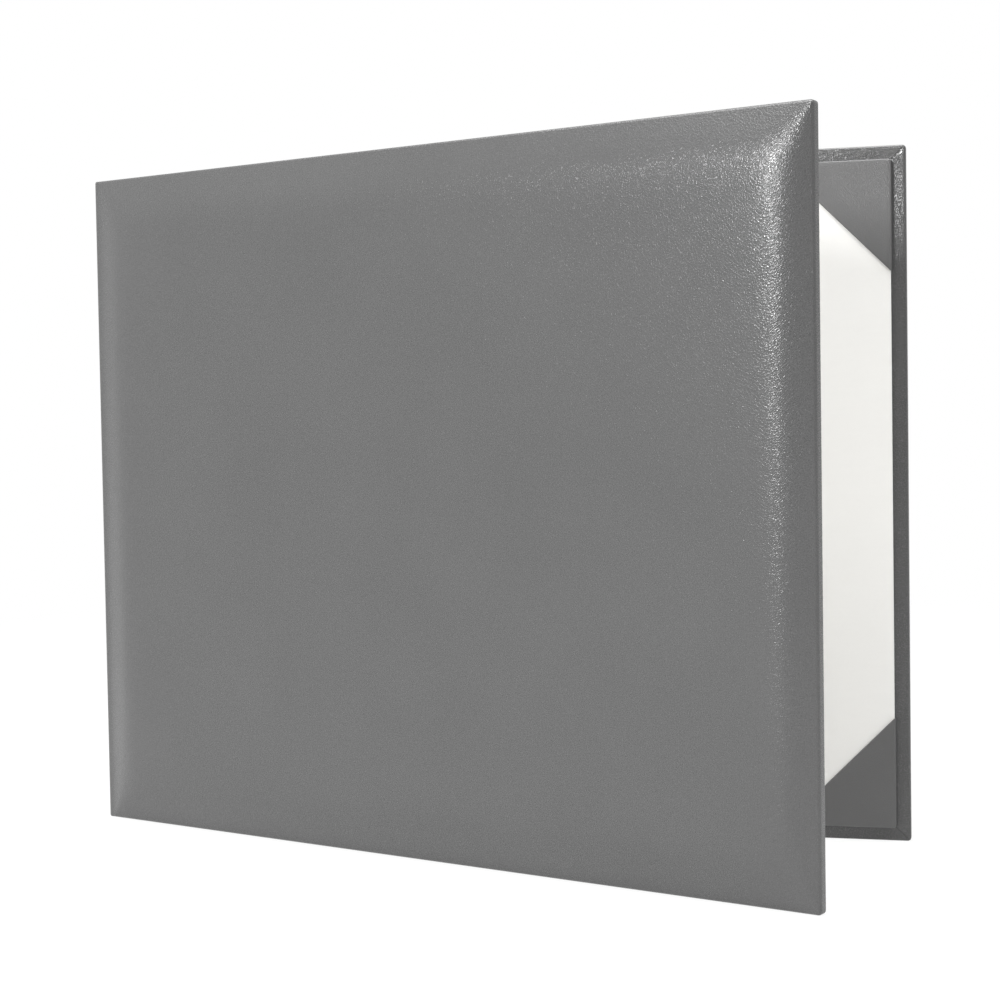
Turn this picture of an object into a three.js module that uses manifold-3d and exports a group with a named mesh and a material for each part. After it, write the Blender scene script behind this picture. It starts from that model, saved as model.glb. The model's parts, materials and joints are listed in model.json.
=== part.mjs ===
// Padded diploma cover: two leatherette covered boards joined by a narrow spine, opened to a V
// and standing on its tail edges. Millimetres, +Z up, the back cover along +X.
import * as THREE from 'three';
import { mergeVertices } from 'three/addons/utils/BufferGeometryUtils.js';
import Module from 'manifold-3d';

const wasm = await Module();
wasm.setup();

// Covers: each runs from its fold line at the spine to its fore edge, and is the full height.
const coverWidth = 266.7;
const coverHeight = 215.9;
const openingAngle = THREE.MathUtils.degToRad(20);

// Layers, from the outer face to the inside.
const leather = 0.5;
const glueGap = 0.1;
const boardThickness = 2.2;
const panelThickness = 1.2;
const pocketLeather = 0.3;
const liningLeather = 0.4;
const closedRoom = 1.3;

// Edges and corners of a wrapped board.
const cornerRadius = 1.8;
const edgeRadius = 0.8;
const turnInWidth = 15;
const mitreWidth = 0.25;
const mitreDepth = 0.25;

// The joint beside the spine, where the leatherette bends with no board behind it.
const boardSetback = 2.5;
const foldSlit = 0.12;
const liningInset = 1.2;
const liningMargin = 3;

// Foam pad under the front: a short steep shoulder and a long flat crown, added together.
const shoulderRise = 4.5;
const shoulderReach = 7;
const crownRise = 2;
const crownReach = 30;
const mitreSharpness = 4;
const firstStep = 0.35;
const stepGrowth = 1.4;

// Inner panels and the corner pockets on the back one.
const panelMargin = 4.7;
const panelSpineMargin = 6;
const panelCorner = 0.8;
const pocketLeg = 34;
const pocketFlap = 9;

const coverThickness = 2 * leather + 2 * glueGap + boardThickness;
const frontStack = coverThickness + glueGap + panelThickness;
const pocketBack = coverThickness + glueGap;
const backPanelDepth = pocketBack + pocketLeather + glueGap;
const backStack = backPanelDepth + panelThickness + glueGap + pocketLeather;
const spineWidth = frontStack + backStack + closedRoom - leather;
const foldEnd = (leather + foldSlit) / Math.SQRT2;
const outside = 5;

function toSolid(geometry) {
  geometry.deleteAttribute('normal');
  geometry.deleteAttribute('uv');
  const merged = mergeVertices(geometry, 1e-5);
  return new wasm.Manifold(new wasm.Mesh({
    numProp: 3,
    vertProperties: new Float32Array(merged.attributes.position.array),
    triVerts: new Uint32Array(merged.index.array),
  }));
}

function toGeometry(solid) {
  const { vertProperties, triVerts } = solid.getMesh();
  const geometry = new THREE.BufferGeometry();
  geometry.setAttribute('position', new THREE.BufferAttribute(vertProperties, 3));
  geometry.setIndex(new THREE.BufferAttribute(triVerts, 1));
  geometry.computeVertexNormals();
  return geometry;
}

// Every piece is built in its cover's own frame: x from the fold line to the fore edge,
// y the depth from the outer face inwards, z from tail to head.
function block(x0, x1, y0, y1, z0, z1) {
  const geometry = new THREE.BoxGeometry(x1 - x0, y1 - y0, z1 - z0);
  geometry.translate((x0 + x1) / 2, (y0 + y1) / 2, (z0 + z1) / 2);
  return toSolid(geometry);
}

// Outline in x and z, carried through the depth.
function throughDepth(outline, y0, y1) {
  const geometry = new THREE.ExtrudeGeometry(outline, {
    depth: y1 - y0, bevelEnabled: false, curveSegments: 5,
  });
  geometry.rotateX(Math.PI / 2).translate(0, y1, 0);
  return toSolid(geometry);
}

// Section in x and y, carried up the height.
function upHeight(section, z0, z1) {
  const geometry = new THREE.ExtrudeGeometry(section, {
    depth: z1 - z0, bevelEnabled: false, curveSegments: 4,
  });
  geometry.translate(0, 0, z0);
  return toSolid(geometry);
}

// Section in y and z, carried along the width.
function alongWidth(section, x0, x1) {
  const geometry = new THREE.ExtrudeGeometry(section, {
    depth: x1 - x0, bevelEnabled: false, curveSegments: 4,
  });
  geometry.rotateX(Math.PI / 2).rotateZ(Math.PI / 2).translate(x0, 0, 0);
  return toSolid(geometry);
}

// A rectangle whose two fore corners are rounded.
function foreRounded(x0, x1, z0, z1, radius) {
  const outline = new THREE.Shape();
  outline.moveTo(x0, z0);
  outline.lineTo(x1 - radius, z0);
  outline.absarc(x1 - radius, z0 + radius, radius, -Math.PI / 2, 0);
  outline.absarc(x1 - radius, z1 - radius, radius, 0, Math.PI / 2);
  outline.lineTo(x0, z1);
  return outline;
}

function allRounded(x0, x1, z0, z1, radius) {
  const outline = foreRounded(x0 + radius, x1, z0, z1, radius);
  outline.absarc(x0 + radius, z1 - radius, radius, Math.PI / 2, Math.PI);
  outline.absarc(x0 + radius, z0 + radius, radius, Math.PI, 1.5 * Math.PI);
  return outline;
}

// Height of the padded face over the board's own plane. The distance to the four sides is
// joined by a power mean, so each side keeps its shoulder and the corners get a soft mitre.
function padHeight(x, z) {
  const sides = [x - boardSetback, coverWidth - x, z, coverHeight - z];
  if (Math.min(...sides) <= 0) return 0;
  const distance = sides.reduce((sum, side) => sum + side ** -mitreSharpness, 0)
    ** (-1 / mitreSharpness);
  return shoulderRise * (1 - Math.exp(-distance / shoulderReach))
    + crownRise * (1 - Math.exp(-distance / crownReach));
}

// Drop of the outer face within the rounded edge.
function edgeDrop(x, z) {
  const side = Math.max(0, Math.min(coverWidth - x, z, coverHeight - z));
  if (side >= edgeRadius) return 0;
  return edgeRadius - Math.sqrt(edgeRadius ** 2 - (edgeRadius - side) ** 2);
}

// Grid lines that lie close together at both ends of a span and spread towards its middle.
function spreadLines(from, to) {
  const lines = [from, to];
  const middle = (from + to) / 2;
  let step = firstStep;
  for (let offset = step; from + offset < middle - step / 2; offset += step) {
    lines.push(from + offset, to - offset);
    step *= stepGrowth;
  }
  lines.push(middle);
  return lines.sort((a, b) => a - b);
}

const widthLines = [-outside, ...spreadLines(boardSetback, coverWidth), coverWidth + outside];
const heightLines = [-outside, ...spreadLines(0, coverHeight), coverHeight + outside];

// A solid whose outer face follows a depth function on the grid lines, flat on the inside.
function domed(depthAt, insideDepth) {
  const rows = heightLines.length;
  const vertices = [];
  for (const flat of [false, true]) {
    for (const x of widthLines) {
      for (const z of heightLines) vertices.push(x, flat ? insideDepth : depthAt(x, z), z);
    }
  }
  const layer = widthLines.length * rows;
  const faces = [];
  const quad = (a, b, c, d) => faces.push(a, b, c, a, c, d);
  const lastColumn = layer - rows;
  for (let i = 0; i < widthLines.length - 1; i += 1) {
    for (let j = 0; j < rows - 1; j += 1) {
      const corner = i * rows + j;
      quad(corner, corner + rows, corner + rows + 1, corner + 1);
      quad(layer + corner, layer + corner + 1, layer + corner + rows + 1, layer + corner + rows);
    }
    const low = i * rows;
    const high = low + rows - 1;
    quad(low, layer + low, layer + low + rows, low + rows);
    quad(high, high + rows, layer + high + rows, layer + high);
  }
  for (let j = 0; j < rows - 1; j += 1) {
    quad(j, j + 1, layer + j + 1, layer + j);
    const far = lastColumn + j;
    quad(far, layer + far, layer + far + 1, far + 1);
  }
  const geometry = new THREE.BufferGeometry();
  geometry.setAttribute('position', new THREE.Float32BufferAttribute(vertices, 3));
  geometry.setIndex(faces);
  return toSolid(geometry);
}

// The leatherette's outer form in three sections that cross: head to tail, fold to fore edge,
// and the face outline. The outer edges are rounded here only where there is no pad.
function coverForm(padded) {
  const outer = padded ? -(shoulderRise + crownRise + outside) : 0;
  const outerRadius = padded ? 0 : edgeRadius;

  const endSection = new THREE.Shape();
  endSection.moveTo(outer + outerRadius, 0);
  endSection.lineTo(coverThickness - edgeRadius, 0);
  endSection.absarc(coverThickness - edgeRadius, edgeRadius, edgeRadius, -Math.PI / 2, 0);
  endSection.absarc(coverThickness - edgeRadius, coverHeight - edgeRadius, edgeRadius, 0, Math.PI / 2);
  endSection.lineTo(outer + outerRadius, coverHeight);
  if (!padded) {
    endSection.absarc(outerRadius, coverHeight - outerRadius, outerRadius, Math.PI / 2, Math.PI);
    endSection.absarc(outerRadius, outerRadius, outerRadius, Math.PI, 1.5 * Math.PI);
  }

  const sideSection = new THREE.Shape();
  sideSection.moveTo(foldEnd, leather);
  sideSection.absarc(foldEnd, leather / 2, leather / 2, Math.PI / 2, 1.5 * Math.PI);
  if (padded) {
    sideSection.lineTo(boardSetback, 0);
    sideSection.lineTo(boardSetback, outer);
    sideSection.lineTo(coverWidth, outer);
  } else {
    sideSection.lineTo(coverWidth - edgeRadius, 0);
    sideSection.absarc(coverWidth - edgeRadius, edgeRadius, edgeRadius, -Math.PI / 2, 0);
  }
  sideSection.absarc(coverWidth - edgeRadius, coverThickness - edgeRadius, edgeRadius, 0, Math.PI / 2);
  sideSection.lineTo(boardSetback, coverThickness);
  sideSection.lineTo(boardSetback, leather);

  const face = foreRounded(-outside, coverWidth, 0, coverHeight, cornerRadius);
  const form = alongWidth(endSection, -outside, coverWidth + outside)
    .intersect(upHeight(sideSection, -outside, coverHeight + outside))
    .intersect(throughDepth(face, outer - outside, coverThickness + outside));
  if (!padded) return form;
  return form.intersect(domed((x, z) => edgeDrop(x, z) - padHeight(x, z), coverThickness + outside));
}

// Where the turned-in edges meet at a fore corner: a shallow slit on the diagonal.
function mitre(atHead) {
  const length = turnInWidth * Math.SQRT2;
  const slit = new THREE.BoxGeometry(length, 2 * mitreDepth, mitreWidth);
  slit.rotateY(atHead ? -Math.PI / 4 : Math.PI / 4);
  const reach = turnInWidth / 2 + cornerRadius;
  slit.translate(coverWidth - reach, coverThickness, atHead ? coverHeight - reach : reach);
  return toSolid(slit);
}

// One sheet round three edges of the board, turned in on the inside and open in the middle.
function coverWrap(padded) {
  const faceInside = foreRounded(
    boardSetback - outside, coverWidth - leather, leather, coverHeight - leather,
    cornerRadius - leather,
  );
  const pocket = throughDepth(faceInside, padded ? -outside * 3 : leather, coverThickness - leather);
  const boardSpace = padded
    ? pocket.intersect(domed((x, z) => leather - padHeight(x, z), coverThickness + outside))
    : pocket;
  const window = block(
    boardSetback - outside, coverWidth - turnInWidth, coverThickness / 2, coverThickness + outside,
    turnInWidth, coverHeight - turnInWidth,
  );
  return coverForm(padded).subtract(boardSpace).subtract(window)
    .subtract(mitre(false)).subtract(mitre(true));
}

function coverBoard() {
  const edge = leather + glueGap;
  const face = foreRounded(
    boardSetback, coverWidth - edge, edge, coverHeight - edge, cornerRadius - edge,
  );
  return throughDepth(face, edge, edge + boardThickness);
}

// The foam lies a glue line under the leatherette, cut on the same grid lines so that the
// facets of the two stay parallel.
function frontPad() {
  const edge = leather + glueGap;
  const face = foreRounded(
    boardSetback + edge, coverWidth - edge, edge, coverHeight - edge, cornerRadius - edge,
  );
  return domed((x, z) => edge - padHeight(x, z), edge + boardThickness)
    .intersect(throughDepth(face, -outside * 3, leather));
}

function linerPanel(depth) {
  const face = allRounded(
    panelSpineMargin, coverWidth - panelMargin, panelMargin, coverHeight - panelMargin, panelCorner,
  );
  return throughDepth(face, depth, depth + panelThickness);
}

// A triangle of leatherette over one corner of the panel, folded round its two edges and
// glued behind it. The corner is at x = z = 0 and the pocket lies towards -x and -z.
function cornerPocket() {
  const wall = glueGap + pocketLeather;
  const leg = pocketLeg + 2 * wall;
  const face = new THREE.Shape();
  face.moveTo(wall - leg, wall);
  face.lineTo(wall, wall - leg);
  face.lineTo(wall, wall - panelCorner);
  face.absarc(wall - panelCorner, wall - panelCorner, panelCorner, 0, Math.PI / 2);
  const front = backPanelDepth + panelThickness;
  const panelSpace = throughDepth(
    allRounded(-2 * leg, glueGap, -2 * leg, glueGap, panelCorner - pocketLeather),
    backPanelDepth - glueGap, front + glueGap,
  );
  const behind = block(-2 * leg, -pocketFlap, pocketBack - outside, backPanelDepth, -2 * leg, -pocketFlap);
  return throughDepth(face, pocketBack, front + wall).subtract(panelSpace).subtract(behind);
}

// Spine strip of the same sheet, with the head and the tail turned in.
function spineWrap() {
  const section = new THREE.Shape();
  section.moveTo(foldEnd, leather);
  section.absarc(foldEnd, leather / 2, leather / 2, Math.PI / 2, 1.5 * Math.PI);
  section.absarc(spineWidth - foldEnd, leather / 2, leather / 2, -Math.PI / 2, Math.PI / 2);
  const inner = leather + glueGap;
  const x0 = liningInset;
  const x1 = spineWidth - liningInset;
  const head = coverHeight;
  return upHeight(section, 0, head)
    .add(block(x0, x1, leather / 2, inner + leather, 0, leather))
    .add(block(x0, x1, leather / 2, inner + leather, head - leather, head))
    .add(block(x0, x1, inner, inner + leather, leather / 2, turnInWidth))
    .add(block(x0, x1, inner, inner + leather, head - turnInWidth, head - leather / 2));
}

// Strip that hides the inside of the spine: it lies on the sheet between the turned-in ends
// and steps over them.
function spineLining() {
  const x0 = liningInset;
  const x1 = spineWidth - liningInset;
  const low = leather + glueGap;
  const high = 2 * low;
  const step = turnInWidth + glueGap;
  const overHem = block(x0, x1, high, high + liningLeather, liningMargin, coverHeight - liningMargin);
  const onSheet = block(x0, x1, low, high + liningLeather, step, coverHeight - step);
  const inside = block(
    x0 - outside, x1 + outside, low + liningLeather, high + outside,
    step + liningLeather, coverHeight - step - liningLeather,
  );
  return overHem.add(onSheet).subtract(inside);
}

const leatherGrey = new THREE.MeshStandardMaterial({ color: 0x757575, roughness: 0.55, metalness: 0 });
const pocketGrey = new THREE.MeshStandardMaterial({ color: 0x707070, roughness: 0.6, metalness: 0 });
const boardGrey = new THREE.MeshStandardMaterial({ color: 0x9a948a, roughness: 0.9, metalness: 0 });
const foamWhite = new THREE.MeshStandardMaterial({ color: 0xe8e6de, roughness: 0.95, metalness: 0 });
const paperWhite = new THREE.MeshStandardMaterial({ color: 0xf2f0ea, roughness: 0.85, metalness: 0 });

function piece(name, solid, material) {
  const mesh = new THREE.Mesh(toGeometry(solid), material);
  mesh.name = name;
  return mesh;
}

// Each group turns about its fold line, which runs up the middle of the leatherette.
const frontCover = new THREE.Group();
frontCover.add(
  piece('front_board', coverBoard(), boardGrey),
  piece('front_pad', frontPad(), foamWhite),
  piece('front_wrap', coverWrap(true), leatherGrey),
  piece('front_liner_panel', linerPanel(coverThickness + glueGap), paperWhite),
);
for (const mesh of frontCover.children) mesh.position.y = -leather / 2;

const spine = new THREE.Group();
spine.add(
  piece('spine_wrap', spineWrap(), leatherGrey),
  piece('spine_lining', spineLining(), leatherGrey),
);
for (const mesh of spine.children) mesh.position.y = -leather / 2;
spine.rotation.z = -(Math.PI / 2 + openingAngle / 2);

// The back cover is built as the front one is and turned over, so its own z runs head to tail.
const backCover = new THREE.Group();
backCover.add(
  piece('back_board', coverBoard(), boardGrey),
  piece('back_wrap', coverWrap(false), leatherGrey),
  piece('back_liner_panel', linerPanel(backPanelDepth), paperWhite),
);
const pocketPlaces = [
  ['corner_pocket_fore_tail', 0, coverWidth - panelMargin, coverHeight - panelMargin],
  ['corner_pocket_fore_head', 1, coverWidth - panelMargin, panelMargin],
  ['corner_pocket_spine_head', 2, panelSpineMargin, panelMargin],
  ['corner_pocket_spine_tail', 3, panelSpineMargin, coverHeight - panelMargin],
];
for (const [name, quarterTurns, x, z] of pocketPlaces) {
  const pocket = piece(name, cornerPocket(), pocketGrey);
  pocket.rotation.y = quarterTurns * Math.PI / 2;
  pocket.position.set(x, 0, z);
  backCover.add(pocket);
}
for (const mesh of backCover.children) mesh.position.y = -leather / 2;
backCover.rotation.x = Math.PI;
backCover.position.z = coverHeight;

const diplomaCover = new THREE.Group();
frontCover.position.set(
  -spineWidth * Math.sin(openingAngle / 2), -spineWidth * Math.cos(openingAngle / 2), 0,
);
frontCover.rotation.z = -openingAngle;
diplomaCover.add(frontCover, spine, backCover);

// The origin is the middle of the footprint, on the surface that the cover stands on.
diplomaCover.updateMatrixWorld(true);
const footprint = new THREE.Box3().setFromObject(diplomaCover, true).getCenter(new THREE.Vector3());
diplomaCover.position.set(-footprint.x, -footprint.y, 0);

export default diplomaCover;
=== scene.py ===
# Padded diploma cover, standing open in a V on its tail edges: the finishes and the fine forms
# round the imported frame. Everything is in metres, in the frame's own axes.
import json
import math

import bmesh
import bpy
import numpy as np
from mathutils import Matrix, Vector


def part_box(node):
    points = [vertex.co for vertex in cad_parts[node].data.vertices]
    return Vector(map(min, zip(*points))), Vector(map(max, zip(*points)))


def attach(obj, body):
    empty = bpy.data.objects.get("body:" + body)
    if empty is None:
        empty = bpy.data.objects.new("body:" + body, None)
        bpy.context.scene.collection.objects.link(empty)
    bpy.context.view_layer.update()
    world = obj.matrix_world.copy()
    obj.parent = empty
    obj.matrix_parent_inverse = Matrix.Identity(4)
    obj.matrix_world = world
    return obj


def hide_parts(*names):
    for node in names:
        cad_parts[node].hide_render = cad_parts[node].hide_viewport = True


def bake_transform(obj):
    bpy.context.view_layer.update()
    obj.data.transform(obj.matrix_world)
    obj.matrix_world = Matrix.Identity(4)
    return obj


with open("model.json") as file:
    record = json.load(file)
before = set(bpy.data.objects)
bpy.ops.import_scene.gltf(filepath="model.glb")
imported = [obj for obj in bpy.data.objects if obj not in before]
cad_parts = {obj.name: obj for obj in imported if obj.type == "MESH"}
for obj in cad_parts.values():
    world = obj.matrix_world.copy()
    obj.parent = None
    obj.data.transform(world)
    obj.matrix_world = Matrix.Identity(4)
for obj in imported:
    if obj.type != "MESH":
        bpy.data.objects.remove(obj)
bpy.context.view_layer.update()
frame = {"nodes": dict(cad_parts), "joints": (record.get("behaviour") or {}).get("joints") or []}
mm = 0.001


# Camera
# A camera a little to the right of the fore edges and above half height, turned to the left
# towards the padded front. Its place and turn come from a fit to the corners of both covers
# in the 1000 x 1000 picture.
picture_width = 1000
focal_pixels = 1988.0
camera_place = Vector((169.3, -578.4, 133.0)) * mm
camera_yaw = math.radians(14.81)
camera_pitch = math.radians(2.28)
camera_roll = math.radians(-0.93)

across = Vector((math.cos(camera_yaw), math.sin(camera_yaw), 0))
ahead = Vector((
    -math.sin(camera_yaw) * math.cos(camera_pitch),
    math.cos(camera_yaw) * math.cos(camera_pitch),
    -math.sin(camera_pitch),
))
upright = across.cross(ahead)
right = across * math.cos(camera_roll) + upright * math.sin(camera_roll)
top = upright * math.cos(camera_roll) - across * math.sin(camera_roll)

camera_data = bpy.data.cameras.new("camera")
camera_data.sensor_width = 36
camera_data.lens = focal_pixels * camera_data.sensor_width / picture_width
camera = bpy.data.objects.new("camera", camera_data)
facing = Matrix((right, top, -ahead)).transposed().to_4x4()
camera.matrix_world = Matrix.Translation(camera_place) @ facing
bpy.context.collection.objects.link(camera)
bpy.context.scene.camera = camera
bpy.context.scene.view_settings.view_transform = "Standard"


# Floor, backdrop and lamps
# A white sweep in a photo studio: the floor keeps a faint shadow, a small key box stands to the
# left of the camera and above it, a wide panel hangs overhead, and a weak fill is on the right.
class Wire:
    """One output of a shader node. A sum on wires adds Math nodes, so a formula reads as one."""

    def __init__(self, tree, socket=None):
        self.tree = tree
        self.socket = socket

    def node(self, kind, settings=None, inputs=None, output=0):
        """Adds a node: its settings are set first, then its sockets get values or links."""
        made = self.tree.nodes.new("ShaderNode" + kind)
        for key, value in (settings or {}).items():
            setattr(made, key, value)
        for key, value in (inputs or {}).items():
            if isinstance(value, Wire):
                self.tree.links.new(value.socket, made.inputs[key])
            else:
                made.inputs[key].default_value = value
        return Wire(self.tree, made.outputs[output])

    def math(self, operation, *values, clamp=False):
        inputs = dict(enumerate(values))
        return self.node("Math", {"operation": operation, "use_clamp": clamp}, inputs)

    def __add__(self, other):
        return self.math("ADD", self, other)

    def __sub__(self, other):
        return self.math("SUBTRACT", self, other)

    def __rsub__(self, other):
        return self.math("SUBTRACT", other, self)

    def __mul__(self, other):
        return self.math("MULTIPLY", self, other)

    def __truediv__(self, other):
        return self.math("DIVIDE", self, other)

    __radd__ = __add__
    __rmul__ = __mul__

    def clamped(self):
        return self.math("ADD", self, 0, clamp=True)


def bare_material(name):
    """A new node material with only its output: the material, its first wire and the output."""
    material = bpy.data.materials.new(name)
    material.use_nodes = True
    material.node_tree.nodes.clear()
    output = material.node_tree.nodes.new("ShaderNodeOutputMaterial")
    return material, Wire(material.node_tree), output


def seen_white(wires):
    """1 where a ray from the camera, a gloss or a clear surface looks, and 0 for light."""
    rays = [wires.node("LightPath", output=name) for name in (
        "Is Camera Ray", "Is Glossy Ray", "Is Transmission Ray",
    )]
    return (rays[0] + rays[1] + rays[2]).clamped()


floor_half = 3.0
floor_glow = 0.87
fade_start = 0.35
fade_width = 0.5
floor_paper, wires, output = bare_material("studio_paper")
lit_paper = wires.node("BsdfDiffuse", inputs={"Color": (0.8, 0.8, 0.8, 1)})
shadow_paper = wires.node("BsdfDiffuse", inputs={"Color": (0.13, 0.13, 0.13, 1)})
glow = wires.node("Emission", inputs={"Color": (1, 1, 1, 1), "Strength": floor_glow})
near_paper = wires.node("AddShader", inputs={0: shadow_paper, 1: glow})
far_paper = wires.node("Emission", inputs={"Color": (1, 1, 1, 1), "Strength": 1.0})
floor_place = wires.node("TexCoord", output="Object")
from_middle = wires.node("VectorMath", {"operation": "LENGTH"}, {0: floor_place}, output="Value")
fade = ((from_middle - fade_start) / fade_width).clamped()
seen_paper = wires.node("MixShader", inputs={0: fade, 1: near_paper, 2: far_paper})
paper = wires.node("MixShader", inputs={0: seen_white(wires), 1: lit_paper, 2: seen_paper})
floor_paper.node_tree.links.new(paper.socket, output.inputs["Surface"])
floor_mesh = bpy.data.meshes.new("studio_floor")
floor_signs = [(-1, -1), (1, -1), (1, 1), (-1, 1)]
floor_corners = [(x * floor_half, y * floor_half, 0) for x, y in floor_signs]
floor_mesh.from_pydata(floor_corners, [], [(0, 1, 2, 3)])
floor_mesh.materials.append(floor_paper)
floor = bpy.data.objects.new("studio_floor", floor_mesh)
bpy.context.collection.objects.link(floor)

world = bpy.data.worlds.new("studio")
world.use_nodes = True
world.node_tree.nodes.clear()
wires = Wire(world.node_tree)
room_level = 0.17
left_wall_level = 0.9
backdrop_level = 0.8
backdrop_start = 0.6
backdrop_rise = 2
direction = wires.node("TexCoord", output="Generated")
towards = {axis: wires.node("SeparateXYZ", inputs={0: direction}, output=axis) for axis in "XY"}
left_wall = (0 - towards["X"]).clamped()
room = left_wall * left_wall_level + room_level
# A gloss that points to the backdrop sees it, and not the darker room.
behind = (towards["Y"] * backdrop_rise + backdrop_start).clamped()
gloss = wires.node("LightPath", output="Is Glossy Ray") * behind
seen_directly = wires.node("LightPath", output="Is Camera Ray")
clear = seen_directly + wires.node("LightPath", output="Is Transmission Ray")
glossy_room = (1 - gloss) * room + gloss * backdrop_level
strength = (1 - clear) * glossy_room + clear
sky = wires.node("Background", inputs={"Color": (1, 1, 1, 1), "Strength": strength})
world_output = world.node_tree.nodes.new("ShaderNodeOutputWorld")
world.node_tree.links.new(sky.socket, world_output.inputs["Surface"])
bpy.context.scene.world = world


def soft_box(name, place, aim, size, power):
    """A rectangular area lamp at a place, facing the point that it is aimed at."""
    lamp_data = bpy.data.lights.new(name, "AREA")
    lamp_data.shape = "RECTANGLE"
    lamp_data.size, lamp_data.size_y = size
    lamp_data.energy = power
    lamp = bpy.data.objects.new(name, lamp_data)
    lamp.location = place
    lamp.rotation_euler = (Vector(aim) - Vector(place)).to_track_quat("-Z", "Y").to_euler()
    bpy.context.collection.objects.link(lamp)


lamp_aim = (0, 0, 0.1)
soft_box("key_box", (-0.6, -1.48, 0.68), lamp_aim, (0.28, 0.36), 16)
soft_box("overhead_panel", (0, -0.24, 1.48), lamp_aim, (1.4, 1.2), 36)
soft_box("right_fill", (1.3, -0.75, 0.65), lamp_aim, (0.9, 0.9), 1.0)


# Leatherette
# Grey leatherette, a woven backing with a coat of plastic. A fine slanting pebble grain is
# pressed in at the mill, so its pattern follows the sheet and goes round the edges with it.
def sheet_colour(wires, value, drift, coordinate):
    """A grey that drifts a little over patches of the sheet about 30 mm wide."""
    patches = wires.node("TexNoise", inputs={"Vector": coordinate, "Scale": 0.03, "Detail": 3})
    level = (patches - 0.5) * drift + value
    return wires.node("CombineColor", inputs={0: level, 1: level, 2: level})


swirl_scale = 0.9
swirl_reach = 0.7
grain_angle = math.radians(50)
pebble_length = 1 / 0.75
pebble_breadth = 1 / 1.3
pore_scale = 3.4
crease_steepness = 3.6
pebble_share = 0.75
pore_share = 0.3
crease_dullness = 0.16
colour_drift = 0.012
coat_gloss = 0.75


def grain_height(wires, coordinate, pebble):
    """Pebbles a little under 1 mm long, with creases where the distance to the edge of a cell is
    small, plus finer pores on their tops. A swirl keeps their rows from being straight."""
    swirl_inputs = {"Vector": coordinate, "Scale": swirl_scale, "Detail": 2}
    swirl = wires.node("TexNoise", inputs=swirl_inputs, output="Color")
    drift = wires.node("VectorMath", {"operation": "SCALE"}, {0: swirl, "Scale": swirl_reach})
    bent = wires.node("VectorMath", {"operation": "ADD"}, {0: coordinate, 1: drift})
    pebble_size = (pebble * pebble_length, pebble * pebble_breadth, 1)
    turned = wires.node("Mapping", {"vector_type": "TEXTURE"}, {
        "Vector": bent, "Rotation": (0, 0, grain_angle), "Scale": pebble_size,
    })
    cells = wires.node("TexVoronoi", {"feature": "DISTANCE_TO_EDGE"}, {"Vector": turned, "Scale": 1.0})
    tops = (cells * crease_steepness).clamped()
    pore_inputs = {"Vector": coordinate, "Scale": pore_scale / pebble, "Detail": 3}
    pores = wires.node("TexNoise", inputs=pore_inputs)
    return tops * pebble_share + pores * pore_share


def leatherette(name, value, pebble, depth, roughness):
    """Grained sheet: the creases are duller than the pebbles, and the grain is a bump."""
    material, wires, output = bare_material(name)
    sheet = wires.node("UVMap", {"uv_map": "sheet_mm"})
    height = grain_height(wires, sheet, pebble)
    bump = wires.node("Bump", inputs={"Height": height, "Strength": 1.0, "Distance": depth * mm})
    crease = (1 - height) * crease_dullness
    body = wires.node("BsdfPrincipled", inputs={
        "Base Color": sheet_colour(wires, value, colour_drift, sheet),
        "Roughness": crease + roughness,
        "Normal": bump,
        "Specular IOR Level": coat_gloss,
    })
    material.node_tree.links.new(body.socket, output.inputs["Surface"])
    return material


cover_leatherette = leatherette("cover_leatherette", 0.076, pebble=0.63, depth=0.036, roughness=0.16)


# Cover skins
# The leatherette is glued over each board and round three of its edges, is turned in for
# 15 mm with mitred corners, and runs on over the fold to the middle of the spine.
back_low, back_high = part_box("back_wrap")
cover_height = back_high.z - back_low.z
cover_thickness = back_high.y - back_low.y
leather = 0.5 * mm
glue = 0.1 * mm
corner_radius = 1.1 * mm
edge_radius = 0.7 * mm
turn_in = 15 * mm
mitre_reach = 60 * mm
mitre_skew = 0.8
mitre_width = 0.2 * mm
mitre_step = 1.5 * mm
mitre_sink = 0.28 * mm
mitre_bend = 8 * mm
mitre_start = 0.6
board_setback = 2.5 * mm
hem_thickness = 2 * leather + glue
fold_radius = 1.6 * mm
sharp_angle = math.radians(55)
edge_rows = 6
side_rows = 4
flap_rows = 11
flap_crowding = 1.4
fan_rows = 3
fold_start = -2 * mm
finest_step = 0.15 * mm
widest_step = 3 * mm
step_growth = 1.12

joints = {joint["name"]: joint for joint in frame["joints"]}
back_axis = np.array(joints["back_fold"]["pos_m"][:2])
front_axis = np.array(joints["front_fold"]["pos_m"][:2])
opening = math.radians(-joints["back_fold"]["range_deg"][0] - joints["front_fold"]["range_deg"][0])
cover_width = back_high.x - back_axis[0]
spine_width = float(np.linalg.norm(front_axis - back_axis))
along_spine = (front_axis - back_axis) / spine_width


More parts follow.
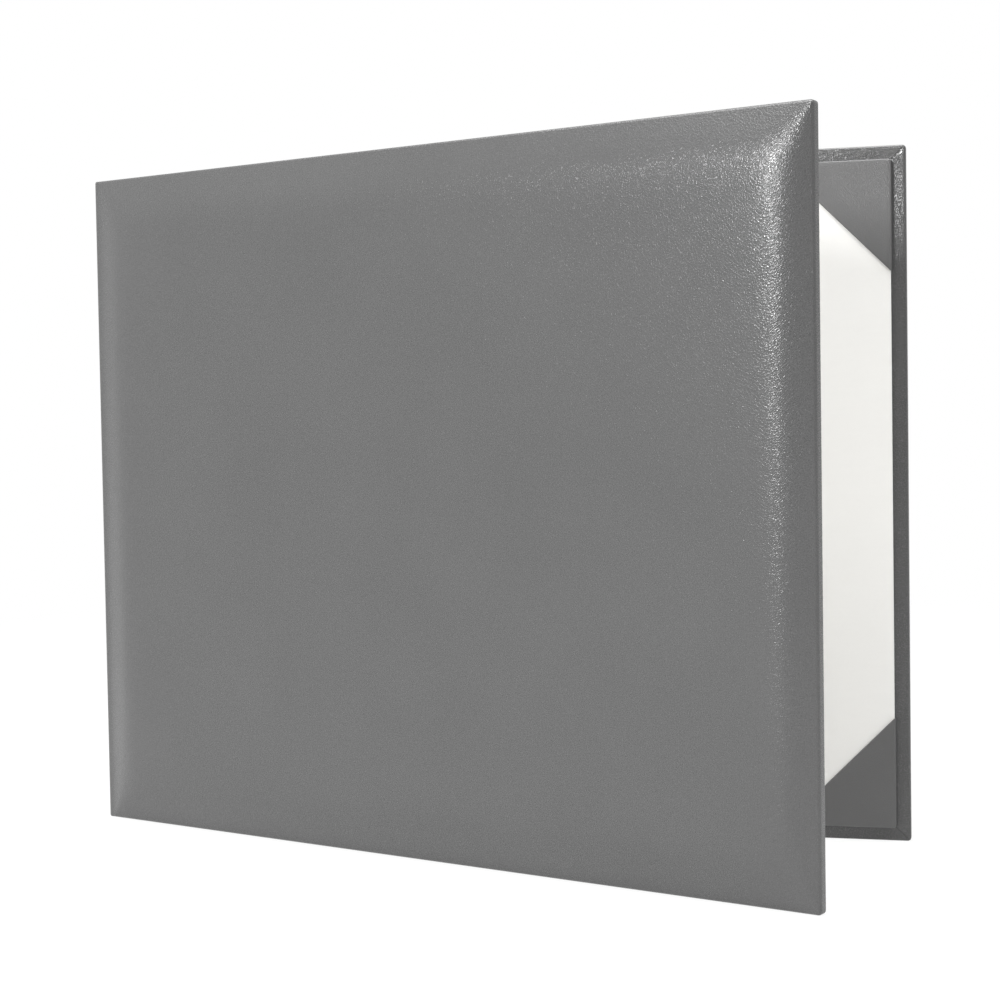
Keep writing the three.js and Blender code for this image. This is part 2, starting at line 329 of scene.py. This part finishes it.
class FoldPlan:
    """The outer line of a cover seen from above: along half of the spine, round the fold and
    out to the fore edge. Places on it are lengths from the fold, negative on the spine."""

    def __init__(self, axis, along_cover, along_half_spine):
        middle = along_cover + along_half_spine
        middle /= np.linalg.norm(middle)
        half_angle = math.acos(float(middle @ along_cover))
        self.along_cover = along_cover
        self.along_half_spine = along_half_spine
        self.cover_normal = self.away_from(middle, along_cover)
        self.spine_normal = self.away_from(middle, along_half_spine)
        self.start = leather / 2 / math.tan(half_angle)
        self.corner = axis - middle * (leather / 2 / math.sin(half_angle))
        self.tangent = fold_radius / math.tan(half_angle)
        self.centre = self.corner + middle * (fold_radius / math.sin(half_angle))
        self.turn = math.pi - 2 * half_angle

    @staticmethod
    def away_from(middle, along):
        """The normal of a line on the side away from the fold's inside."""
        normal = along * float(middle @ along) - middle
        return normal / np.linalg.norm(normal)

    def at(self, place, depth):
        """Points at lengths along the line, sunk to a depth behind it."""
        place = np.asarray(place, float)[..., None]
        depth = np.asarray(depth, float)[..., None]
        share = np.clip((place / self.tangent + 1) / 2, 0, 1)
        normal = self.spine_normal * np.sin((1 - share) * self.turn)
        normal = (normal + self.cover_normal * np.sin(share * self.turn)) / math.sin(self.turn)
        on_arc = self.centre + normal * fold_radius
        on_cover = self.corner + self.along_cover * place
        on_spine = self.corner - self.along_half_spine * place
        off_arc = np.where(place > 0, on_cover, on_spine)
        line = np.where(np.abs(place) > self.tangent, off_arc, on_arc)
        return line - normal * depth


def spread(low, high, first, growth, widest):
    """Places from low to high: the spacing starts small at both ends and grows to a widest."""
    half = (high - low) / 2
    most_steps = 400
    steps = np.minimum(first * growth ** np.arange(most_steps), widest)
    reach = np.cumsum(steps)
    reach = reach[reach < half - widest / 3]
    return np.concatenate([[low], low + reach, [low + half], high - reach[::-1], [high]])


def smooth_step(value):
    """3 v^2 - 2 v^3 between 0 and 1."""
    value = np.clip(value, 0, 1)
    return value * value * (3 - 2 * value)


def grid_faces(rows, columns):
    """Quads of a grid whose vertices are counted row by row."""
    corner = (np.arange(rows - 1)[:, None] * columns + np.arange(columns - 1)).ravel()
    return np.stack([corner, corner + 1, corner + columns + 1, corner + columns], 1)


def closed_sheet(name, outer, inner, faces, sheet_mm, material):
    """A closed mesh from two skins with the same faces, joined by walls at the open edges."""
    count = len(outer)
    edges = np.stack([faces, np.roll(faces, -1, 1)], 2).reshape(-1, 2)
    _, where, uses = np.unique(np.sort(edges, 1), axis=0, return_index=True, return_counts=True)
    rim = edges[where[uses == 1]]
    walls = np.stack([rim[:, 1], rim[:, 0], rim[:, 0] + count, rim[:, 1] + count], 1)
    points = np.concatenate([outer, inner])
    quads = np.concatenate([faces, faces[:, ::-1] + count, walls])
    a, b, c, d = (points[quads[:, k]] for k in range(4))
    volume = np.einsum("ij,ij->", a, np.cross(b, c)) + np.einsum("ij,ij->", a, np.cross(c, d))
    # Faces that look outwards give a volume above zero.
    if volume < 0:
        quads = quads[:, ::-1]
    mesh = bpy.data.meshes.new(name)
    mesh.from_pydata(points.tolist(), [], quads.tolist())
    layer = mesh.uv_layers.new(name="sheet_mm")
    corners = np.tile(sheet_mm, (2, 1))[quads.ravel()]
    layer.data.foreach_set("uv", corners.astype(np.float32).ravel())
    made = bmesh_cleaned(mesh)
    made.shade_smooth()
    made.set_sharp_from_angle(angle=sharp_angle)
    made.materials.append(material)
    piece = bpy.data.objects.new(name, made)
    bpy.context.collection.objects.link(piece)
    return piece


def bmesh_cleaned(mesh):
    """Merges vertices that share a place and drops the faces that this leaves with no area."""
    shape = bmesh.new()
    shape.from_mesh(mesh)
    bmesh.ops.remove_doubles(shape, verts=shape.verts, dist=1e-6)
    bmesh.ops.dissolve_degenerate(shape, edges=shape.edges, dist=1e-7)
    shape.to_mesh(mesh)
    shape.free()
    return mesh


def wrap_rows(thickness, radius, corner, inset, flap):
    """Section of a sheet from the face round an edge to the end of its flap: distances from
    the edge and depths, both for the sheet's outer side or, with an inset, its inner side.
    The first rows of the flap reach as far in as the corner's own arc does."""
    turn = np.radians(np.linspace(0, 90, edge_rows + 1))[1:, None]
    near = np.minimum(radius, thickness / 2)
    outer_in = inset + (radius - inset) * (1 - np.sin(turn)) + 0 * thickness
    outer_deep = inset + (near - inset) * (1 - np.cos(turn))
    side = np.linspace(0, 1, side_rows + 1)[1:, None]
    side_deep = near + (thickness - 2 * near) * side
    side_in = inset + 0 * side_deep
    inner_in = inset + (radius - inset) * (1 - np.cos(turn)) + 0 * thickness
    inner_deep = thickness - inset - (near - inset) * (1 - np.sin(turn))
    flap_share = np.linspace(0, 1, flap_rows + 1)[1:] ** flap_crowding
    flap_in = np.concatenate([[(radius + corner) / 2, corner], corner + (flap - corner) * flap_share])
    flap_in = flap_in[:, None] + 0 * thickness
    flap_deep = thickness - inset + 0 * flap_in
    return (
        np.concatenate([outer_in, side_in, inner_in, flap_in]),
        np.concatenate([outer_deep, side_deep, inner_deep, flap_deep]),
    )


def round_corners(along, up, corner_along, low, high, radius):
    """Bends the square corners of a face grid to arcs: squares about the corner's centre
    become quarter circles of the same reach."""
    past = np.clip((along - corner_along) / radius, 0, 1)
    over = np.clip((up - high) / radius, 0, 1) - np.clip((low - up) / radius, 0, 1)
    size = np.maximum(past, np.abs(over))
    least = np.minimum(past, np.abs(over))
    share = np.divide(least, size, out=np.zeros_like(size), where=size > 0) * math.pi / 4
    angle = np.where(past >= np.abs(over), share, math.pi / 2 - share)
    inside = (past > 0) & (over != 0)
    new_along = np.where(inside, corner_along + size * radius * np.cos(angle), along)
    edge = np.where(over > 0, high, low)
    new_up = np.where(inside, edge + np.sign(over) * size * radius * np.sin(angle), up)
    return new_along, new_up


def board_share(place, plan):
    """0 on the spine's hem and 1 where the board's own thickness is reached."""
    rise = 1.6 * mm
    return smooth_step((place - plan.start - board_setback + rise) / rise)


def cover_skin(name, plan, face_height, sheet_side):
    """The wrapped sheet of one cover: a face grid from the middle of the spine to the three
    rounded edges, and a ring of columns that goes on round the edges to the turn-ins. Both
    covers are one sheet, so the second one's pattern goes on from the spine's middle."""
    fore = cover_width + plan.start
    corner_along = fore - corner_radius
    low, high = corner_radius, cover_height - corner_radius
    fan = np.linspace(0, corner_radius - edge_radius, fan_rows + 1)
    past_groove = 6 * mm
    places = np.concatenate([
        np.linspace(-spine_width / 2 - plan.start, fold_start, 6)[:-1],
        np.linspace(fold_start, past_groove, 41)[:-1],
        spread(past_groove, corner_along, finest_step, step_growth, widest_step),
        corner_along + fan[1:],
    ])
    heights = np.concatenate([
        low - fan[:0:-1], spread(low, high, finest_step, step_growth, widest_step), high + fan[1:],
    ])
    flat_along, flat_up = np.meshgrid(places, heights, indexing="ij")
    along, up = round_corners(flat_along, flat_up, corner_along, low, high, corner_radius - edge_radius)
    rows, columns = along.shape
    number = np.arange(rows * columns).reshape(rows, columns)
    border = np.concatenate([number[:, 0], number[-1, 1:], number[-2::-1, -1]])

    core_along = np.minimum(flat_along.ravel()[border], corner_along)
    core_up = np.clip(flat_up.ravel()[border], low, high)
    out_along = (along.ravel()[border] - core_along) / (corner_radius - edge_radius)
    out_up = (up.ravel()[border] - core_up) / (corner_radius - edge_radius)
    slide_along = np.clip((core_along - corner_along) / mitre_reach + 1, 0, 1)
    slide_up = np.clip((core_up - high) / mitre_reach + 1, 0, 1)
    slide_up = slide_up - np.clip(1 - (core_up - low) / mitre_reach, 0, 1)

    thickness = hem_thickness + (cover_thickness - hem_thickness) * board_share(core_along, plan)
    from_mitre = np.maximum(corner_along - core_along, np.minimum(core_up - low, high - core_up))

    def skin(inset):
        """Points of the face and the ring for the sheet's outer or inner side."""
        sunk, deep = wrap_rows(thickness, edge_radius, corner_radius, inset, turn_in)
        near = corner_radius - np.minimum(sunk, corner_radius)
        far = np.maximum(sunk - corner_radius, 0)
        skewed = 1 + mitre_skew * np.exp(-(from_mitre / mitre_bend) ** 2) * (core_along >= corner_along)
        ring_along = core_along + near * out_along - far * slide_along * skewed
        ring_up = core_up + near * out_up - far * slide_up
        row = np.arange(len(sunk))[:, None]
        on_outside = row < edge_rows + side_rows // 2
        on_flap = row >= 2 * edge_rows + side_rows
        deep = deep - np.where(on_outside, face_height(ring_along - plan.start, ring_up), 0)
        if inset == 0:
            # The flap of the fore edge goes down under the other two, which end in a sharp edge.
            under_flap = np.where(core_along >= corner_along, mitre_step, mitre_width)
            groove = np.exp(-(from_mitre / under_flap) ** 2)
            groove = groove * smooth_step(sunk / corner_radius - mitre_start)
            deep = deep - mitre_sink * groove * on_flap
        face_deep = inset - face_height(along - plan.start, up)
        all_along = np.concatenate([along.ravel(), ring_along.ravel()])
        all_up = np.concatenate([up.ravel(), ring_up.ravel()])
        all_deep = np.concatenate([face_deep.ravel(), deep.ravel()])
        steps_in = np.abs(np.diff(sunk, axis=0, prepend=edge_radius))
        steps_down = np.abs(np.diff(deep, axis=0, prepend=inset))
        reach = corner_radius - edge_radius + np.cumsum(steps_in + steps_down, 0)
        sheet = np.stack([
            np.concatenate([along.ravel(), (core_along + reach * out_along).ravel()]),
            np.concatenate([up.ravel(), (core_up + reach * out_up).ravel()]),
        ], 1)
        sheet[:, 0] = sheet_side * (sheet[:, 0] + spine_width / 2 + plan.start)
        return np.concatenate([plan.at(all_along, all_deep), all_up[:, None]], 1), sheet / mm

    outer, sheet_mm = skin(0)
    inner, _ = skin(leather)
    ring_rows = (len(outer) - rows * columns) // len(border)
    ring = np.concatenate([border, rows * columns + np.arange(ring_rows * len(border))])
    ring_quads = ring[grid_faces(ring_rows + 1, len(border))]
    faces = np.concatenate([grid_faces(rows, columns)[:, ::-1], ring_quads[:, ::-1]])
    return closed_sheet(name, outer, inner, faces, sheet_mm, cover_leatherette)


def pad_height(along, up):
    """How far the foam lifts the face. The distance d to the sides is a power mean of the four
    of them, each with its own steepness. The shoulder is a soft least of a straight slope and
    its full rise, -bend ln(e^(-slope d / bend) + e^(-rise / bend)), and the crown rises by
    1 - e^(-d / reach)."""
    shoulder_rise = 4.5 * mm
    shoulder_slope = 0.5
    bend = 0.75 * mm
    crown_rise = 2 * mm
    crown_reach = 30 * mm
    sharpness = 3.2
    least = 0.001 * mm
    groove = 1.0 * mm
    from_spine = groove * np.logaddexp(0, (along - board_setback) / groove)
    spine_pull, fore_pull, tail_pull, head_pull = 0.75, 0.95, 0.72, 0.68
    sides = [
        from_spine * spine_pull,
        (cover_width - along) * fore_pull,
        up * tail_pull,
        (cover_height - up) * head_pull,
    ]
    mean = sum(np.maximum(side, least) ** -sharpness for side in sides)
    distance = mean ** (-1 / sharpness)
    shoulder = -bend * np.logaddexp(-shoulder_slope * distance / bend, -shoulder_rise / bend)
    return np.maximum(shoulder, 0) + crown_rise * (1 - np.exp(-distance / crown_reach))


def flat_height(along, up):
    """No lift: the back cover has no foam."""
    return np.zeros(np.broadcast(along, up).shape)


along_back = np.array([1.0, 0.0])
along_front = np.array([math.cos(opening), -math.sin(opening)])
back_plan = FoldPlan(back_axis, along_back, along_spine)
front_plan = FoldPlan(front_axis, along_front, -along_spine)
mid_height = cover_height / 2


def row_point(plan, place):
    """A point of the cover's outer line at half height."""
    x, y = plan.at(place, 0)
    return (float(x), float(y), mid_height)


fold_reach = 1.8 * mm
front_skin = cover_skin("front_leatherette", front_plan, pad_height, 1)
row_point(front_plan, -fold_reach)
row_point(front_plan, fold_reach)
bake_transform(front_skin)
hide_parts("front_wrap", "spine_wrap")

back_skin = cover_skin("back_leatherette", back_plan, flat_height, -1)
row_point(back_plan, fold_reach)
row_point(back_plan, -fold_reach)
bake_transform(back_skin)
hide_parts("back_wrap")


# Foam pad
# A sheet of soft white foam glued on the front board and pulled down thin at its edges by
# the leatherette, which lies a glue line above it. It is cut back 0.6 mm at the edges.
pad_edge = leather + glue
pad_rim = 0.02 * mm


def foam_block(name, material):
    """Two skins of one grid: the upper one follows the height of the pad, the lower is flat."""
    steps = {"first": 0.4 * mm, "growth": 1.15, "widest": 4 * mm}
    places = spread(board_setback + pad_edge, cover_width - pad_edge, **steps)
    heights = spread(pad_edge, cover_height - pad_edge, **steps)
    along, up = np.meshgrid(places, heights, indexing="ij")
    lift = np.maximum(pad_height(along, up) - glue, pad_rim)
    skins = []
    for deep in (leather - lift, leather + 0 * lift):
        flat = front_plan.at((along + front_plan.start).ravel(), deep.ravel())
        skins.append(np.concatenate([flat, up.reshape(-1, 1)], 1))
    sheet_mm = np.stack([along.ravel(), up.ravel()], 1) / mm
    return closed_sheet(name, skins[0], skins[1], grid_faces(*along.shape), sheet_mm, material)


def foam_material():
    """White foam: round open cells of about half a millimetre."""
    material, wires, output = bare_material("pad_foam")
    place = wires.node("TexCoord", output="Object")
    cells = wires.node("TexVoronoi", inputs={"Vector": place, "Scale": 1900.0})
    bump = wires.node("Bump", inputs={"Height": cells, "Strength": 0.8, "Distance": 0.15 * mm})
    level = cells * 0.12 + 0.8
    colour = wires.node("CombineColor", inputs={0: level, 1: level * 0.985, 2: level * 0.94})
    body = wires.node("BsdfPrincipled", inputs={"Base Color": colour, "Roughness": 0.9, "Normal": bump})
    material.node_tree.links.new(body.socket, output.inputs["Surface"])
    return material


foam = foam_block("foam_pad", foam_material())
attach(foam, "front_cover")
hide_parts("front_pad")


# Boards
# Two sheets of grey pulp board, cut with a clean edge. They are closed in by the leatherette
# and keep the frame's own solids.
def greyboard():
    """Pressed pulp: short fibres in a random felt, with darker specks."""
    material, wires, output = bare_material("greyboard")
    place = wires.node("TexCoord", output="Object")
    fibre_inputs = {"Vector": place, "Scale": 900.0, "Detail": 5, "Distortion": 1.5}
    fibres = wires.node("TexNoise", inputs=fibre_inputs)
    specks = wires.node("TexVoronoi", inputs={"Vector": place, "Scale": 420.0})
    speck_dark = (0.25 - specks).clamped() * 0.4
    level = fibres * 0.14 + 0.27 - speck_dark
    colour = wires.node("CombineColor", inputs={0: level * 1.05, 1: level, 2: level * 0.9})
    bump = wires.node("Bump", inputs={"Height": fibres, "Strength": 0.6, "Distance": 0.08 * mm})
    body = wires.node("BsdfPrincipled", inputs={"Base Color": colour, "Roughness": 0.85, "Normal": bump})
    material.node_tree.links.new(body.socket, output.inputs["Surface"])
    return material


def dress(node, material):
    """Gives a carried-over node one material in all its slots."""
    mesh = frame["nodes"][node].data
    mesh.materials.clear()
    mesh.materials.append(material)


board_material = greyboard()
for node in ("front_board", "back_board"):
    dress(node, board_material)


# Spine lining
# A strip of thinner leatherette glued inside the spine over the turned-in ends. It runs on
# round both folds to the edges of the inner panels, so it is made in two halves that meet in
# the middle of the spine and go round one fold each.
lining_thickness = 0.35 * mm
lining_margin = 3 * mm
lining_gap = 0.1 * mm
lining_reach = 5.3 * mm
lining_delay = 0.35 * mm


def lining_half(name, plan, sheet_side):
    """A thin strip whose two skins follow the inside of the spine, the fold and the board's
    edge. Its depth is the cover's thickness at each place."""
    places = np.concatenate([
        np.linspace(-spine_width / 2 - plan.start, fold_start, 6)[:-1],
        np.linspace(fold_start, lining_reach, 49),
    ])
    steps = {"first": 0.5 * mm, "growth": 1.2, "widest": 5 * mm}
    heights = spread(lining_margin, cover_height - lining_margin, **steps)
    along, up = np.meshgrid(places, heights, indexing="ij")
    rise = cover_thickness - hem_thickness
    under = hem_thickness + lining_gap + rise * board_share(along - lining_delay, plan)
    skins = []
    for deep in (under + lining_thickness, under):
        flat = plan.at(along.ravel(), deep.ravel())
        skins.append(np.concatenate([flat, up.reshape(-1, 1)], 1))
    sheet_along = sheet_side * (along + spine_width / 2 + plan.start)
    sheet_mm = np.stack([sheet_along.ravel(), up.ravel()], 1) / mm
    return closed_sheet(name, skins[0], skins[1], grid_faces(*along.shape), sheet_mm, pocket_cloth)


pocket_cloth = leatherette("pocket_leatherette", 0.1, pebble=0.6, depth=0.045, roughness=0.35)

front_lining = lining_half("front_spine_lining", front_plan, 1)
row_point(front_plan, -fold_reach)
row_point(front_plan, fold_reach)
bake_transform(front_lining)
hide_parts("spine_lining")

back_lining = lining_half("back_spine_lining", back_plan, -1)
row_point(back_plan, fold_reach)
row_point(back_plan, -fold_reach)
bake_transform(back_lining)


# Inner panels
# Two sheets of white card, glued inside over the turned-in edges of the leatherette. They
# keep the frame's own solids.
def panel_card():
    """Uncoated white card: a faint warm tint, long fibres and a fine felt of pores."""
    material, wires, output = bare_material("panel_card")
    place = wires.node("TexCoord", output="Object")
    felt = wires.node("TexNoise", inputs={"Vector": place, "Scale": 1400.0, "Detail": 4})
    long_fibres = wires.node("Mapping", inputs={"Vector": place, "Scale": (120.0, 120.0, 900.0)})
    streaks = wires.node("TexNoise", inputs={"Vector": long_fibres, "Scale": 1.0, "Detail": 3})
    level = felt * 0.02 + streaks * 0.015 + 0.85
    colour = wires.node("CombineColor", inputs={0: level, 1: level * 0.992, 2: level * 0.965})
    bump = wires.node("Bump", inputs={"Height": felt + streaks, "Strength": 0.5, "Distance": 0.02 * mm})
    body = wires.node("BsdfPrincipled", inputs={"Base Color": colour, "Roughness": 0.7, "Normal": bump})
    material.node_tree.links.new(body.socket, output.inputs["Surface"])
    return material


card = panel_card()
for node in ("front_liner_panel", "back_liner_panel"):
    dress(node, card)


# Corner pockets
# A triangle of thin leatherette over each corner of the back panel. Its long edge is hemmed,
# and its two legs are folded round the panel's edges and glued behind it.
pocket_sheet = 0.3 * mm
pocket_flap = 9 * mm
pocket_edge = 0.55 * mm
pocket_corner = 0.9 * mm
hem_rise = 0.3 * mm
hem_round = 0.35 * mm
hem_width = 6 * mm
face_rows = 26
face_crowding = 2.2
flap_lean = 2


def corner_pocket(node, along_sign, up_sign):
    """A fan of rows between the two legs and the long edge, and a ring that goes on round the
    legs. The hem's height falls off over its width and is rounded off at the long edge."""
    low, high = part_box(node)
    leg = (high.x - low.x) - pocket_edge
    thickness = high.y - low.y
    start_x = high.x if along_sign > 0 else low.x
    start_z = high.z if up_sign > 0 else low.z

    straight = spread(-leg, -pocket_corner, first=0.15 * mm, growth=1.25, widest=2 * mm)
    turn = np.radians(np.linspace(0, 90, edge_rows + 1))[1:-1]
    core_p = np.concatenate([straight, np.full(len(turn) + len(straight), -pocket_corner)])
    core_q = np.concatenate([np.full(len(straight) + len(turn), -pocket_corner), straight[::-1]])
    out_p = np.concatenate([0 * straight, np.sin(turn), 0 * straight + 1])
    out_q = np.concatenate([0 * straight + 1, np.cos(turn), 0 * straight])
    rim_p = core_p + (pocket_corner - pocket_edge) * out_p
    rim_q = core_q + (pocket_corner - pocket_edge) * out_q
    length = np.concatenate([[0], np.cumsum(np.hypot(np.diff(rim_p), np.diff(rim_q)))])
    share = length / length[-1]
    long_p = -leg + share * (leg - pocket_edge)
    long_q = -pocket_edge - share * (leg - pocket_edge)
    rows = 1 - (1 - np.linspace(0, 1, face_rows)) ** face_crowding
    face_p = rim_p + (long_p - rim_p) * rows[::-1, None]
    face_q = rim_q + (long_q - rim_q) * rows[::-1, None]

    def hem_height(p, q):
        """Rise of the hem at a distance from the long edge, rounded off at the edge itself."""
        distance = np.maximum((p + q + leg + pocket_edge) / math.sqrt(2), 0)
        inside = np.clip(1 - distance / hem_round, 0, 1)
        drop = hem_round * (1 - np.sqrt(1 - inside ** 2))
        return hem_rise * smooth_step(1 - distance / hem_width) - drop

    away = (core_p + core_q + 2 * pocket_corner) / (leg - pocket_corner)
    slide = 1 + flap_lean * away
    slide_p = np.where(core_q >= -pocket_corner, slide, 1)
    slide_q = np.where(core_p >= -pocket_corner, slide, 1)

    def skin(inset):
        """Points of the face and the ring for the sheet's outer or inner side."""
        sunk, deep = wrap_rows(thickness + 0 * core_p, pocket_edge, pocket_corner, inset, pocket_flap)
        near = pocket_corner - np.minimum(sunk, pocket_corner)
        far = np.maximum(sunk - pocket_corner, 0)
        ring_p = core_p + near * out_p - far * slide_p
        ring_q = core_q + near * out_q - far * slide_q
        lift = hem_height(ring_p, ring_q) if inset == 0 else 0 * ring_p
        deep = deep - np.where(np.arange(len(sunk))[:, None] < edge_rows, lift, 0)
        face_lift = hem_height(face_p, face_q) if inset == 0 else 0 * face_p
        p = np.concatenate([face_p.ravel(), ring_p.ravel()])
        q = np.concatenate([face_q.ravel(), ring_q.ravel()])
        depth = np.concatenate([(inset - face_lift).ravel(), deep.ravel()])
        points = np.stack([start_x + along_sign * p, low.y + depth, start_z + up_sign * q], 1)
        steps_in = np.abs(np.diff(sunk, axis=0, prepend=pocket_edge))
        steps_down = np.abs(np.diff(deep, axis=0, prepend=inset))
        reach = pocket_corner - pocket_edge + np.cumsum(steps_in + steps_down, 0)
        sheet = np.stack([
            np.concatenate([face_p.ravel(), (core_p + reach * out_p).ravel()]),
            np.concatenate([face_q.ravel(), (core_q + reach * out_q).ravel()]),
        ], 1)
        return points, sheet / mm

    outer, sheet_mm = skin(0)
    inner, _ = skin(pocket_sheet)
    columns = len(core_p)
    faces = grid_faces(len(outer) // columns, columns)
    piece = closed_sheet(node + "_leatherette", outer, inner, faces, sheet_mm, pocket_cloth)
    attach(piece, "back_cover")
    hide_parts(node)


corner_pocket("corner_pocket_fore_head", 1, 1)
corner_pocket("corner_pocket_fore_tail", 1, -1)
corner_pocket("corner_pocket_spine_head", -1, 1)
corner_pocket("corner_pocket_spine_tail", -1, -1)
